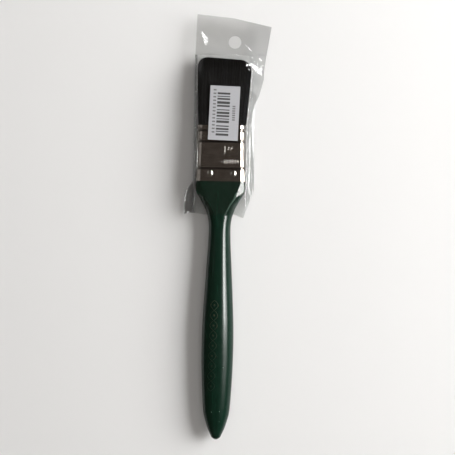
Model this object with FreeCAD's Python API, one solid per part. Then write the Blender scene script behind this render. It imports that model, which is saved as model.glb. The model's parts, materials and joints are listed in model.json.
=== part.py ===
"""One inch flat paint brush, lying on its back in the clear film sleeve that it is sold in.

The brush has a lacquered wooden handle whose tenon is driven into a thin plated steel ferrule and held
by four nails, two from each face. Two banks of nylon filament stand either side of a wooden spacer plug,
and a block of cast resin holds their roots in the ferrule. The sleeve is two plies of film around the
ferrule and the filaments, welded to a punched hanging header, with a paper label on its front ply.

Millimetres. +Z is up, out of the brush's front face, and +Y runs from the handle to the filament tips.
The origin is on the brush's centreline, on the surface that it lies on, below the edge where the ferrule
meets the handle.
"""

import FreeCAD, Part
import math
import os

Vector = FreeCAD.Vector

# Driving dimensions.
AXIS_Z = 5.3  # height of the brush's centreline
FIT_GAP = 0.02  # between parts that are pressed or set together

# Ferrule: an oblong tube of thin sheet, with flats front and back and full, rounded narrow sides.
FERRULE_LENGTH = 29.0
FERRULE_HALF_WIDTH = 13.0
FERRULE_HALF_THICK = 4.5
FERRULE_FLAT = 10.35  # half the width of the flat faces
SIDE_ANGLE = 55.0  # degrees round the side, from its edge to where it meets the flat
SIDE_FULLNESS = 4.0  # 2 is an ellipse, and more is squarer
FERRULE_TAPER = 0.3  # how much narrower each side stands at the filaments' end
FLAT_TAPER = 0.6  # the same for each side of the flat faces
FERRULE_WALL = 0.3
BEAD_DEPTH = 0.4
BEAD_HALF_WIDTH = 0.85
BEAD_PLACES = (7.0, 20.8, 26.4)  # from the handle's end of the ferrule
LAP_HALF_WIDTH = 1.6  # the sheet's overlapping edge, on the rear face
LAP_HEIGHT = 0.25

# Handle.
TENON_LENGTH = 11.0
# Each station: distance below the ferrule, half width, half thickness, half width of the flat faces,
# the angle at which the rounded side meets the flat, where 90 is smooth and less leaves a ridge,
# and the side's fullness, where 2 is an ellipse and more is squarer.
HANDLE_STATIONS = (
    (0.0, 13.0, 4.5, 10.35, SIDE_ANGLE, SIDE_FULLNESS),
    (1.8, 12.98, 4.55, 9.8, SIDE_ANGLE, SIDE_FULLNESS),
    (5.0, 12.6, 4.6, 8.8, SIDE_ANGLE, SIDE_FULLNESS),
    (8.7, 10.6, 4.6, 7.55, 56.0, 3.4),
    (12.5, 8.5, 4.5, 5.0, 60.0, 2.8),
    (17.5, 6.55, 4.4, 2.1, 70.0, 2.2),
    (23.0, 5.68, 4.35, 1.0, 82.0, 2.0),
    (28.5, 5.7, 4.35, 0.5, 90.0, 2.0),
    (42.0, 6.4, 4.75, 0.3, 90.0, 2.0),
    (61.0, 7.5, 5.22, 0.3, 90.0, 2.0),
    (69.0, 7.9, 5.3, 0.3, 90.0, 2.0),
    (87.0, 8.22, 5.1, 0.3, 90.0, 2.0),
    (104.0, 7.75, 4.75, 0.3, 90.0, 2.0),
    (115.0, 7.1, 4.4, 0.3, 90.0, 2.0),
    (120.5, 6.45, 4.1, 0.3, 90.0, 2.0),
    (124.5, 5.4, 3.75, 0.3, 90.0, 2.0),
    (128.5, 4.0, 3.0, 0.3, 90.0, 2.0),
    (131.3, 2.7, 2.2, 0.25, 90.0, 2.0),
    (132.6, 1.75, 1.5, 0.2, 90.0, 2.0),
    (133.1, 0.9, 0.8, 0.1, 90.0, 2.0),
)
SIDE_POINTS = 9  # points on each rounded side of a section

# Nails through the ferrule into the tenon.
NAIL_Y = 4.0
NAIL_X = {"left": -5.4, "right": 6.6}
NAIL_HEAD_RADIUS = 1.7
NAIL_HEAD_HEIGHT = 0.4
NAIL_RECESS = 0.1
NAIL_SHANK_RADIUS = 0.7
NAIL_LENGTH = 4.0
NAIL_POINT = 1.2

# Stamped marks on the front flat: a size stroke, its two ticks, and a row of upright bars after two pips.
STAMP_RADIUS = 0.3
STAMP_HEIGHT = 0.16
STAMP_ROOT = 0.1
SIZE_STROKE = ((2.0, 14.1), (2.0, 17.9))
SIZE_TICKS = (((3.6, 16.3), (4.1, 17.7)), ((5.1, 16.3), (5.6, 17.7)))
BAR_COUNT = 6
BAR_PITCH = 1.34
BAR_FIRST_X = 2.0
BAR_LOW_Y = 9.3
BAR_HIGH_Y = 11.1
PIPS = (((0.4, 9.9), (0.4, 10.4)), ((-2.9, 11.5), (-2.6, 11.9)))

# Root of the filaments inside the ferrule.
RESIN_START = 12.0
RESIN_END = 16.5
ROOT_START = 13.5
PLUG_HALF_WIDTH = 9.6
PLUG_HALF_THICK = 1.4
PLUG_END = 24.5

# Filament banks: distance from the handle's end of the ferrule, left edge, right edge, half thickness.
BANK_STATIONS = (
    (ROOT_START, -11.9, 11.9, 3.75),
    (FERRULE_LENGTH - 1.0, -11.9, 11.9, 3.75),
    (FERRULE_LENGTH + 1.0, -12.1, 12.2, 3.9),
    (40.0, -12.5, 12.9, 3.8),
    (52.0, -12.7, 14.0, 3.3),
    (60.0, -12.8, 14.7, 2.5),
    (64.0, -12.8, 14.8, 1.5),
)
BANK_SIDE = 2.6  # width of each bank's rounded side
TIP_CORNER_RADII = (4.8, 6.4)  # left and right
TIP_DROP = 1.0  # how much lower the right tip corner stands

# Sleeve.
FILM = 0.1
POCKET_TOP = 10.6
POCKET_START = -18.7
POCKET_END = 65.5
POCKET_WIDENS = (40.0, 53.0)  # where the right side of the pocket slants outwards
SEAM_RISE_START = 61.5  # where the plies start to close on the header
HEADER_CORNERS = ((-14.2, 65.5), (-13.5, 86.4), (6.2, 83.8), (24.9, 79.7), (22.5, 65.5))
HANG_HOLE_CENTRE = (6.1, 72.2)
HANG_HOLE_RADIUS = 3.3
SLEEVE_LEFT = -14.4  # where the pocket's left side stands
FLAP_CORNERS = (
    (SLEEVE_LEFT + FILM / 2, 1.0),
    (-17.8, -5.0),
    (-18.5, -8.1),
    (-18.8, -17.0),
    (SLEEVE_LEFT + FILM / 2, -15.6),
)
MOUTH_CORNERS = ((-16.0, -16.1), (-6.9, -17.1), (7.3, -16.8), (12.1, -18.7), (17.5, -3.8))
LABEL_CENTRE = (1.2, 35.0)
LABEL_SIZE = (15.6, 27.8)
LABEL_TILT = -1.8
LABEL_THICK = 0.1


def side_points(y, half_width, half_thick, flat, angle, fullness, side, shift):
    """Points down one rounded side, from the front flat to the rear one: an arc of a superellipse."""
    reach = math.radians(angle)
    power = 2.0 / fullness
    wide = (half_width - flat) / (1.0 - math.cos(reach) ** power)
    high = half_thick / math.sin(reach) ** power
    centre = half_width - wide
    points = []
    for i in range(SIDE_POINTS):
        a = reach * (1.0 - 2.0 * i / (SIDE_POINTS - 1))
        x = centre + wide * math.cos(a) ** power
        z = math.copysign(high * abs(math.sin(a)) ** power, a)
        points.append(Vector(shift + side * x, y, AXIS_Z + z))
    return points


def smooth_edge(points):
    curve = Part.BSplineCurve()
    curve.interpolate(points)
    return curve.toShape()


def section(y, half_width, half_thick, flat, angle=90.0, fullness=2.0, shift=0.0):
    """A closed wire across the brush: two flats joined by two rounded sides."""
    right = side_points(y, half_width, half_thick, flat, angle, fullness, 1, shift)
    left = side_points(y, half_width, half_thick, flat, angle, fullness, -1, shift)
    left.reverse()
    edges = [
        Part.LineSegment(left[-1], right[0]).toShape(),
        smooth_edge(right),
        Part.LineSegment(right[-1], left[0]).toShape(),
        smooth_edge(left),
    ]
    return Part.Wire(edges)


def prism(corners, low, high):
    """A flat outline in X and Y, raised from low to high."""
    points = [Vector(x, y, low) for x, y in corners]
    face = Part.Face(Part.makePolygon(points + points[:1]))
    return face.extrude(Vector(0, 0, high - low))


def ferrule_tube(inset, start, end):
    """A solid of the ferrule's outline with its beads, taken in by inset all round."""
    stations = [(start, 0.0)]
    for bead in BEAD_PLACES:
        if start < bead - BEAD_HALF_WIDTH and bead + BEAD_HALF_WIDTH < end:
            stations.append((bead - BEAD_HALF_WIDTH, 0.0))
            stations.append((bead - BEAD_HALF_WIDTH * 0.3, BEAD_DEPTH))
            stations.append((bead + BEAD_HALF_WIDTH * 0.3, BEAD_DEPTH))
            stations.append((bead + BEAD_HALF_WIDTH, 0.0))
    stations.append((end, 0.0))
    wires = []
    for y, depth in stations:
        taken = inset + depth
        along = y / FERRULE_LENGTH
        half_width = FERRULE_HALF_WIDTH - FERRULE_TAPER * along - taken
        half_thick = FERRULE_HALF_THICK - taken
        flat = FERRULE_FLAT - FLAT_TAPER * along
        wires.append(section(y, half_width, half_thick, flat, SIDE_ANGLE, SIDE_FULLNESS))
    return Part.makeLoft(wires, True, True)


def stamp_stroke(start, end):
    """One raised stroke on the front flat, with round ends."""
    top = AXIS_Z + FERRULE_HALF_THICK
    height = top + STAMP_HEIGHT - STAMP_RADIUS
    a = Vector(start[0], start[1], height)
    b = Vector(end[0], end[1], height)
    stroke = Part.makeCylinder(STAMP_RADIUS, (b - a).Length, a, b - a)
    for point in (a, b):
        stroke = stroke.fuse(Part.makeSphere(STAMP_RADIUS, point))
    low = Vector(min(a.x, b.x) - 1, min(a.y, b.y) - 1, top - STAMP_ROOT)
    keep = Part.makeBox(abs(b.x - a.x) + 2, abs(b.y - a.y) + 2, 1.0, low)
    return stroke.common(keep)


def make_nail(x, face):
    """A domed nail driven in from the front (face 1) or the rear (face -1)."""
    rim = -NAIL_RECESS
    radius = NAIL_HEAD_RADIUS
    height = NAIL_HEAD_HEIGHT
    dome = (radius**2 + height**2) / (2 * height)
    half_way = math.asin(radius / dome) / 2
    bulge = Vector(dome * math.sin(half_way), 0, height - dome * (1 - math.cos(half_way)))
    arc = Part.Arc(Vector(0, 0, height), bulge, Vector(radius, 0, 0)).toShape()
    points = [
        Vector(radius, 0, 0),
        Vector(radius, 0, rim),
        Vector(NAIL_SHANK_RADIUS, 0, rim),
        Vector(NAIL_SHANK_RADIUS, 0, NAIL_POINT - NAIL_LENGTH),
        Vector(0, 0, -NAIL_LENGTH),
        Vector(0, 0, height),
    ]
    outline = Part.Wire([arc] + Part.makePolygon(points).Edges)
    nail = Part.Face(outline).revolve(Vector(), Vector(0, 0, 1), 360)
    if face < 0:
        nail.rotate(Vector(), Vector(1, 0, 0), 180)
    nail.translate(Vector(x, NAIL_Y, AXIS_Z + face * FERRULE_HALF_THICK))
    return nail


def nail_clearance(x, face, gap):
    """What a nail takes out of the ferrule and the tenon."""
    surface = AXIS_Z + face * FERRULE_HALF_THICK
    along = Vector(0, 0, -face)
    head = Part.makeCylinder(
        NAIL_HEAD_RADIUS + gap,
        NAIL_RECESS + 1.0,
        Vector(x, NAIL_Y, surface + face * 1.0),
        along,
    )
    shank = Part.makeCylinder(
        NAIL_SHANK_RADIUS + gap,
        NAIL_LENGTH + gap,
        Vector(x, NAIL_Y, surface),
        along,
    )
    return head.fuse(shank)


def make_ferrule():
    outer = ferrule_tube(0.0, 0.0, FERRULE_LENGTH)
    bore = ferrule_tube(FERRULE_WALL, 0.0, FERRULE_LENGTH)
    lap = Part.makeBox(
        2 * LAP_HALF_WIDTH,
        FERRULE_LENGTH,
        LAP_HEIGHT + FERRULE_WALL + BEAD_DEPTH,
        Vector(-LAP_HALF_WIDTH, 0, AXIS_Z - FERRULE_HALF_THICK - LAP_HEIGHT),
    )
    ferrule = outer.fuse(lap).cut(bore)
    for face in (1, -1):
        for x in NAIL_X.values():
            ferrule = ferrule.cut(nail_clearance(x, face, FIT_GAP))
    strokes = [stamp_stroke(*SIZE_STROKE)]
    strokes += [stamp_stroke(*mark) for mark in SIZE_TICKS + PIPS]
    for i in range(BAR_COUNT):
        x = BAR_FIRST_X + i * BAR_PITCH
        strokes.append(stamp_stroke((x, BAR_LOW_Y), (x, BAR_HIGH_Y)))
    return ferrule.fuse(strokes).removeSplitter()


def make_handle():
    wires = [section(-station[0], *station[1:]) for station in HANDLE_STATIONS]
    grip = Part.makeLoft(wires, True, False)
    tenon = ferrule_tube(FERRULE_WALL + FIT_GAP, 0.0, TENON_LENGTH)
    handle = grip.fuse(tenon)
    for face in (1, -1):
        for x in NAIL_X.values():
            handle = handle.cut(nail_clearance(x, face, FIT_GAP))
    return handle


def make_plug():
    return Part.makeBox(
        2 * PLUG_HALF_WIDTH,
        PLUG_END - ROOT_START,
        2 * PLUG_HALF_THICK,
        Vector(-PLUG_HALF_WIDTH, ROOT_START, AXIS_Z - PLUG_HALF_THICK),
    )


def make_bank_body():
    """Both filament banks as one body, from their roots in the resin to the rounded tip corners."""
    wires = []
    for y, left, right, half_thick in BANK_STATIONS:
        half_width = (right - left) / 2
        shift = (right + left) / 2
        wires.append(section(y, half_width, half_thick, half_width - BANK_SIDE, shift=shift))
    body = Part.makeLoft(wires, True, True)
    tip, left, right = BANK_STATIONS[-1][:3]
    left_radius, right_radius = TIP_CORNER_RADII
    low = ROOT_START - 1
    slant = math.sqrt(0.5)
    left_arc = Part.Arc(
        Vector(left, tip - left_radius, 0),
        Vector(left + left_radius * (1 - slant), tip - left_radius * (1 - slant), 0),
        Vector(left + left_radius, tip, 0),
    )
    right_top = tip - TIP_DROP
    right_arc = Part.Arc(
        Vector(right - right_radius, right_top, 0),
        Vector(right - right_radius * (1 - slant), right_top - right_radius * (1 - slant), 0),
        Vector(right, right_top - right_radius, 0),
    )
    rest = [
        Vector(right, right_top - right_radius, 0),
        Vector(right + 1, low, 0),
        Vector(left - 1, low, 0),
        Vector(left, tip - left_radius, 0),
    ]
    top = Part.LineSegment(
        Vector(left + left_radius, tip, 0),
        Vector(right - right_radius, right_top, 0),
    )
    outline = Part.Wire(
        [left_arc.toShape(), top.toShape(), right_arc.toShape()] + Part.makePolygon(rest).Edges
    )
    return body.common(Part.Face(outline).extrude(Vector(0, 0, 2 * AXIS_Z)))


def split_banks(body, plug):
    """The banks meet on the brush's middle plane, a hair apart, and straddle the plug."""
    halves = []
    for low, high in ((AXIS_Z + FIT_GAP, 2 * AXIS_Z), (0.0, AXIS_Z - FIT_GAP)):
        slab = Part.makeBox(80, 80, high - low, Vector(-40, 0, low))
        halves.append(body.common(slab).cut(plug))
    return halves


def make_resin(body, plug):
    """Cast resin around the roots, out to the ferrule's wall."""
    block = ferrule_tube(FERRULE_WALL + FIT_GAP, RESIN_START, RESIN_END)
    return block.cut(body).cut(plug)


def pocket_corners(base_left, base_right, wall_right, shoulder_right, top, bottom):
    """Corners round the pocket, each with the way that the film's inner face lies from it."""
    middle = (top + bottom) / 2
    return (
        (base_left, bottom, 1, 1),
        (base_right, bottom, -1, 1),
        (wall_right, bottom + 0.47 * (top - bottom), -1, 0),
        (shoulder_right, bottom + 0.84 * (top - bottom), -1, -0.6),
        (12.6, top, 0, -1),
        (-12.2, top, 0, -1),
        (-13.9, bottom + 0.88 * (top - bottom), 1, -0.4),
        (base_left, middle, 1, 0),
    )


POCKET_STATIONS = (
    (POCKET_START, pocket_corners(SLEEVE_LEFT, 17.4, 17.0, 15.7, POCKET_TOP, 0.0)),
    (POCKET_WIDENS[0], pocket_corners(SLEEVE_LEFT, 17.4, 17.0, 15.7, POCKET_TOP, 0.0)),
    (POCKET_WIDENS[1], pocket_corners(SLEEVE_LEFT, 21.0, 21.4, 18.0, POCKET_TOP, 0.0)),
    (SEAM_RISE_START, pocket_corners(-14.3, 21.7, 21.9, 18.5, POCKET_TOP, 0.0)),
    (POCKET_END, pocket_corners(-14.2, 22.4, 22.5, 22.4, AXIS_Z + 0.15, AXIS_Z - 0.15)),
)


def pocket_volume(thickness):
    """The pocket's outer shape, or its inside when thickness is the film's."""
    wires = []
    for y, corners in POCKET_STATIONS:
        points = [Vector(x + sx * thickness, y, z + sz * thickness) for x, z, sx, sz in corners]
        wires.append(Part.makePolygon(points + points[:1]))
    return Part.makeLoft(wires, True, True)


def make_films():
    """The pocket's front and back plies, split along the seam, and trimmed to the slanting mouth."""
    film = pocket_volume(0.0).cut(pocket_volume(FILM))
    seam = [
        (POCKET_START - 1, FILM),
        (SEAM_RISE_START, FILM),
        (POCKET_END, AXIS_Z),
        (POCKET_END, 20.0),
        (POCKET_START - 1, 20.0),
    ]
    points = [Vector(-40, y, z) for y, z in seam]
    above = Part.Face(Part.makePolygon(points + points[:1])).extrude(Vector(80, 0, 0))
    trim = prism(MOUTH_CORNERS + ((17.5, 38.0), (30.0, 50.0), (30.0, 70.0), (-16.0, 70.0)), -1.0, 20.0)
    front_flap = prism(FLAP_CORNERS, FILM, 2 * FILM)
    back_flap = prism(FLAP_CORNERS, 0.0, FILM)
    front = film.common(above).common(trim).fuse(front_flap).removeSplitter()
    back = film.cut(above).common(trim).fuse(back_flap).removeSplitter()
    return front, back


def make_header():
    plate = prism(HEADER_CORNERS, AXIS_Z - FILM, AXIS_Z + FILM)
    x, y = HANG_HOLE_CENTRE
    return plate.cut(Part.makeCylinder(HANG_HOLE_RADIUS, 4.0, Vector(x, y, AXIS_Z - 2.0)))


def make_label():
    width, length = LABEL_SIZE
    label = Part.makeBox(width, length, LABEL_THICK, Vector(-width / 2, -length / 2, 0))
    label.rotate(Vector(), Vector(0, 0, 1), LABEL_TILT)
    label.translate(Vector(LABEL_CENTRE[0], LABEL_CENTRE[1], POCKET_TOP))
    return label


def export(name, shape):
    """Writes one sub-part, and prints what it is."""
    box = shape.BoundBox
    print(
        f"{name}: {len(shape.Solids)} solid, valid {shape.isValid()}, {shape.Volume:.2f} mm3, "
        f"X {box.XMin:.2f} {box.XMax:.2f}, Y {box.YMin:.2f} {box.YMax:.2f}, Z {box.ZMin:.2f} {box.ZMax:.2f}"
    )
    shape.exportStep(f"parts/{name}.step")


def main():
    os.makedirs("parts", exist_ok=True)
    export("handle", make_handle())
    export("ferrule", make_ferrule())
    for side, x in NAIL_X.items():
        export(f"nail_front_{side}", make_nail(x, 1))
        export(f"nail_rear_{side}", make_nail(x, -1))
    plug = make_plug()
    body = make_bank_body()
    front_bank, rear_bank = split_banks(body, plug)
    export("spacer_plug", plug)
    export("resin_setting", make_resin(body, plug))
    export("filament_bank_front", front_bank)
    export("filament_bank_rear", rear_bank)
    front_film, back_film = make_films()
    export("sleeve_front_film", front_film)
    export("sleeve_back_film", back_film)
    export("hang_header", make_header())
    export("barcode_label", make_label())


main()
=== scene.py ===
"""The looks of a one inch flat paint brush in its clear hanging sleeve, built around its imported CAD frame.

Shapes are worked out in millimetres, in the part's own frame, and turned into metres as each mesh is made.
+Y runs from the handle to the filament tips, and +Z out of the brush's front face. X and Y are 0 at the
middle of the ferrule's end on the handle.
"""

import json
import math
import random

import bpy
import numpy as np
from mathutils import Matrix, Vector, noise


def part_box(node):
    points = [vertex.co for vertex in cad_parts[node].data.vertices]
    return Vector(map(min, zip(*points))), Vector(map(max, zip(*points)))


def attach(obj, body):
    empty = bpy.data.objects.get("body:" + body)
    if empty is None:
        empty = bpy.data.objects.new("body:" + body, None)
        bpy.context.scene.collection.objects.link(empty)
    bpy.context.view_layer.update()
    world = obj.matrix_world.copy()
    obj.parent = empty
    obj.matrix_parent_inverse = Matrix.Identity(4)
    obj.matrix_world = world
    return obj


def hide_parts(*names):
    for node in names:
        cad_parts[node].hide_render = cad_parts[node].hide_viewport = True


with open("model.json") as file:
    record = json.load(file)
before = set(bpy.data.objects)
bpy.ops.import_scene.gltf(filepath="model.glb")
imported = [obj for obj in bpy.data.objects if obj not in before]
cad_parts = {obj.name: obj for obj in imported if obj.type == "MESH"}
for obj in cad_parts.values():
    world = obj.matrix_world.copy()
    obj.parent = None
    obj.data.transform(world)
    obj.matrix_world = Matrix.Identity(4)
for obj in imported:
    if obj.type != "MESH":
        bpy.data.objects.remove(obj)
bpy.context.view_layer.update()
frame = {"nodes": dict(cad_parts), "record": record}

MM = 0.001
scene = bpy.context.scene


def node_box(node):
    """A CAD node's lowest and highest corner, in millimetres."""
    low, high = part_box(node)
    return np.array(low) / MM, np.array(high) / MM


HEADER_LOW, HEADER_HIGH = node_box("hang_header")
LABEL_LOW, LABEL_HIGH = node_box("barcode_label")
AXIS_Z = (HEADER_LOW[2] + HEADER_HIGH[2]) / 2  # the header lies at the height of the brush's centreline


# -------------------- node helpers


def new_material(name):
    """A material with a node tree, its Principled shader and its output."""
    mat = bpy.data.materials.new(name)
    mat.use_nodes = True
    tree = mat.node_tree
    return mat, tree, tree.nodes["Principled BSDF"], tree.nodes["Material Output"]


def feed(tree, node, **inputs):
    """Sets a node's input sockets, each from a value or from another node's socket."""
    for name, value in inputs.items():
        socket = node.inputs[name.replace("_", " ")]
        if isinstance(value, bpy.types.NodeSocket):
            tree.links.new(value, socket)
        else:
            socket.default_value = value


def add_node(tree, kind, **settings):
    """A node with its settings: capitalised names are input sockets, the others are properties."""
    node = tree.nodes.new(kind)
    for name, value in settings.items():
        if name[0].isupper():
            feed(tree, node, **{name: value})
        else:
            setattr(node, name, value)
    return node


def object_coordinates(tree, scale=(1, 1, 1)):
    """Object-space coordinates in millimetres, stretched by scale."""
    place = add_node(tree, "ShaderNodeTexCoord").outputs["Object"]
    return add_node(tree, "ShaderNodeMapping", Vector=place, Scale=[s / MM for s in scale]).outputs["Vector"]


def noise_value(tree, vector, scale, detail=3.0, roughness=0.55):
    settings = {"Vector": vector, "Scale": scale, "Detail": detail, "Roughness": roughness}
    return add_node(tree, "ShaderNodeTexNoise", **settings).outputs["Fac"]


def ramp(tree, value, *stops):
    """A colour ramp; each stop is (position, colour)."""
    node = add_node(tree, "ShaderNodeValToRGB", Fac=value)
    elements = node.color_ramp.elements
    while len(elements) < len(stops):
        elements.new(0.5)
    for element, (position, colour) in zip(elements, stops):
        element.position = position
        element.color = (*colour, 1.0)
    return node.outputs["Color"]


def grey(level):
    return (level, level, level)


def share(tree, name):
    """The number from 0 to 1 that add_shares gave each of a piece's points; 0 on other pieces."""
    return add_node(tree, "ShaderNodeAttribute", attribute_name=name).outputs["Fac"]


def mixed_colour(tree, share_of_high, low, high):
    """A colour between low and high; each is a socket or three numbers."""
    node = add_node(tree, "ShaderNodeMix", data_type="RGBA")
    for socket, value in ((0, share_of_high), (6, low), (7, high)):
        if isinstance(value, bpy.types.NodeSocket):
            tree.links.new(value, node.inputs[socket])
        else:
            node.inputs[socket].default_value = (*value, 1.0)
    return node.outputs[2]


def bumped(tree, shader, height, strength, distance):
    """Sets a shader's normal from a height; distance is in millimetres."""
    node = add_node(tree, "ShaderNodeBump", Height=height, Strength=strength, Distance=distance * MM)
    feed(tree, shader, Normal=node.outputs["Normal"])


# -------------------- materials


def lacquer_material():
    """Dark green lacquer on turned wood: faint grain under the gloss, dust nibs and small rubs. It dried
    smoothest on the shoulders' flat facets."""
    mat, tree, shader, _ = new_material("green_lacquer")
    along = object_coordinates(tree, (0.9, 0.035, 0.9))
    even = object_coordinates(tree)
    grain = noise_value(tree, along, 1.3, 5.0)
    base = ramp(tree, grain, (0.3, (0.0017, 0.0145, 0.0080)), (0.72, (0.0034, 0.0235, 0.0135)))
    nibs = ramp(tree, noise_value(tree, even, 1.9, 1.0), (0.80, grey(0.0)), (0.815, grey(1.0)))
    speckled = mixed_colour(tree, nibs, base, (0.03, 0.06, 0.045))
    # A painted highlight along the right shoulder's ridge, and slight wear on the left one.
    colour = mixed_colour(tree, share(tree, "ridge_wear_and_painted_highlight"), speckled, (0.16, 0.24, 0.20))
    rubs = ramp(tree, noise_value(tree, even, 0.35, 4.0), (0.3, grey(0.17)), (0.75, grey(0.25)))
    rough = mixed_colour(tree, share(tree, "facet"), rubs, grey(0.05))
    feed(tree, shader, Base_Color=colour, Roughness=rough, IOR=1.42, Coat_Weight=0.15, Coat_Roughness=0.06)
    bumped(tree, shader, noise_value(tree, along, 2.2, 4.0), 0.06, 0.05)
    return mat


def plated_steel_material(name="plated_steel", tint=(0.50, 0.46, 0.43), grain=1.0):
    """Bright plated sheet with a fine grain drawn across the brush, cloudy tarnish, and painted shade where
    the piece says. Grain is how deep the drawn grain is."""
    mat, tree, shader, _ = new_material(name)
    drawn = object_coordinates(tree, (0.25, 9.0, 9.0))
    cloud = noise_value(tree, object_coordinates(tree), 0.28, 5.0)
    tarnished = tuple(0.78 * c for c in tint)
    plate = ramp(tree, cloud, (0.3, tarnished), (0.7, tint))
    # Painted shade: dark where the piece's share says, in the ferrule's grooves.
    colour = mixed_colour(tree, share(tree, "groove_painted_shade"), plate, (0.05, 0.042, 0.036))
    scratch = noise_value(tree, drawn, 1.0, 3.0)
    rough = ramp(tree, scratch, (0.25, grey(0.17 - 0.05 * grain)), (0.8, grey(0.17 + 0.05 * grain)))
    feed(tree, shader, Base_Color=colour, Metallic=1.0, Roughness=rough)
    bumped(tree, shader, scratch, 0.06 * grain, 0.03)
    return mat


def filament_material():
    """Black nylon with a bluish sheen, each strand slightly different."""
    mat, tree, shader, _ = new_material("black_nylon")
    darkest, lightest = (0.0022, 0.0022, 0.0026), (0.006, 0.0064, 0.0078)
    colour = ramp(tree, share(tree, "strand_shade"), (0.0, darkest), (1.0, lightest))
    streaks = noise_value(tree, object_coordinates(tree, (3.0, 0.4, 3.0)), 1.0)
    rough = ramp(tree, streaks, (0.3, grey(0.42)), (0.7, grey(0.6)))
    feed(tree, shader, Base_Color=colour, Roughness=rough, Specular_IOR_Level=0.12)
    return mat


def mirrored_share(tree, straight_on):
    """The share of light that a face mirrors, by Schlick's rule, the same from both sides of the film."""
    value = add_node(tree, "ShaderNodeLayerWeight", Blend=0.5).outputs["Facing"]
    for operation, number in (("POWER", 5.0), ("MULTIPLY", 1 - straight_on), ("ADD", straight_on)):
        step = add_node(tree, "ShaderNodeMath", operation=operation)
        tree.links.new(value, step.inputs[0])
        step.inputs[1].default_value = number
        value = step.outputs[0]
    return value


def film_material(name, tint):
    """Clear film: tint is the share that each of its two faces lets through, and a slant mirrors more. It is
    darkened with painted shade where the piece says."""
    mat, tree, shader, output = new_material(name)
    even = object_coordinates(tree)
    scuff = noise_value(tree, even, 0.22, 5.0)
    rough = ramp(tree, scuff, (0.3, grey(0.07)), (0.7, grey(0.18)))
    feed(tree, shader, Base_Color=(0.9, 0.91, 0.92, 1.0), Metallic=1.0, Roughness=rough)
    bumped(tree, shader, noise_value(tree, even, 0.5, 4.0), 0.25, 0.25)
    dulled = tuple(0.975 * c for c in tint)
    passed = ramp(tree, scuff, (0.25, dulled), (0.75, tint))
    # Painted shade: the film lets less through where the piece's share says.
    passed = mixed_colour(tree, share(tree, "film_painted_shade"), passed, grey(0.6))
    clear = add_node(tree, "ShaderNodeBsdfTransparent", Color=passed)
    mix = add_node(tree, "ShaderNodeMixShader")
    for socket, source in enumerate((mirrored_share(tree, 0.028), clear.outputs[0], shader.outputs[0])):
        tree.links.new(source, mix.inputs[socket])
    feed(tree, output, Surface=mix.outputs[0])
    return mat


def mottled_material(name, stops, roughness, scale, detail, stretch=(1, 1, 1), bump=None):
    """A plain material whose colour drifts with a noise between two stops, which can be a bump as well."""
    mat, tree, shader, _ = new_material(name)
    mottle = noise_value(tree, object_coordinates(tree, stretch), scale, detail)
    feed(tree, shader, Base_Color=ramp(tree, mottle, *stops), Roughness=roughness)
    if bump:
        bumped(tree, shader, mottle, *bump)
    return mat


def paper_material():
    """Coated label paper with a faint fibre mottle."""
    stops = (0.3, (0.415, 0.42, 0.445)), (0.7, (0.46, 0.465, 0.49))
    return mottled_material("label_paper", stops, 0.42, 2.5, 6.0, (1.0, 1.6, 1.0), (0.12, 0.03))


def ink_material(name, depth):
    """Black print, thin in places; depth is its darkest grey."""
    return mottled_material(name, ((0.35, grey(depth)), (0.75, grey(3 * depth))), 0.5, 3.0, 5.0)


def speck_material():
    """Pale dust under a skin of lacquer."""
    stops = (0.3, (0.13, 0.19, 0.16)), (0.7, (0.25, 0.32, 0.28))
    return mottled_material("lacquered_dust", stops, 0.2, 4.0, 3.0)


def wood_material():
    """Bare sawn wood of the spacer plug."""
    stops = (0.3, (0.36, 0.24, 0.12)), (0.7, (0.56, 0.42, 0.25))
    return mottled_material("bare_wood", stops, 0.75, 1.2, 6.0, (0.15, 1.2, 1.2), (0.3, 0.1))


def resin_material():
    """Cured amber setting resin, slightly cloudy."""
    stops = (0.3, (0.20, 0.10, 0.02)), (0.7, (0.36, 0.2, 0.06))
    return mottled_material("cast_resin", stops, 0.25, 0.6, 4.0, bump=(0.2, 0.1))


def foil_material():
    """Old gold foil, dull and mostly rubbed away to the lacquer, and more so down the handle."""
    mat, tree, shader, _ = new_material("gold_foil")
    worn = noise_value(tree, object_coordinates(tree), 1.1, 6.0, 0.7)
    lacquer = (0.0026, 0.019, 0.0108)
    foil = ramp(tree, worn, (0.38, lacquer), (0.62, (0.070, 0.062, 0.034)))
    down = add_node(tree, "ShaderNodeSeparateXYZ", Vector=object_coordinates(tree, (1, -0.01, 1)))
    kept = ramp(tree, down.outputs["Y"], (0.60, grey(1.0)), (0.85, grey(0.45)), (1.0, grey(0.2)))
    rough = ramp(tree, worn, (0.3, grey(0.5)), (0.7, grey(0.3)))
    feed(tree, shader, Base_Color=mixed_colour(tree, kept, lacquer, foil), Roughness=rough, Metallic=0.35)
    return mat


# -------------------- meshes


def add_piece(name, points, faces, body, material, node=None, smooth=True, sharp_above=60.0):
    """A mesh from points in millimetres, riding on a CAD body, and standing for a CAD node if one is given.
    Its shading is smooth, apart from edges that turn by more than sharp_above degrees."""
    data = bpy.data.meshes.new(name)
    data.from_pydata((np.asarray(points) * MM).tolist(), [], faces)
    data.update()
    if smooth:
        data.shade_smooth()
        data.set_sharp_from_angle(angle=math.radians(sharp_above))
    data.materials.append(material)
    obj = bpy.data.objects.new(name, data)
    scene.collection.objects.link(obj)
    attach(obj, body)
    if node:
        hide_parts(node)
    return obj


def joined(pieces):
    """Points and faces of several closed pieces as one."""
    points = []
    faces = []
    for piece_points, piece_faces in pieces:
        first = len(points)
        points.extend(piece_points)
        faces.extend(tuple(first + i for i in face) for face in piece_faces)
    return points, faces


def flipped(faces):
    """The faces turned inside out."""
    return [tuple(reversed(face)) for face in faces]


def add_shares(obj, name, values):
    """A number on each of a piece's points, for its material to read."""
    attribute = obj.data.attributes.new(name, "FLOAT", "POINT")
    attribute.data.foreach_set("value", np.asarray(values, np.float32))


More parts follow.
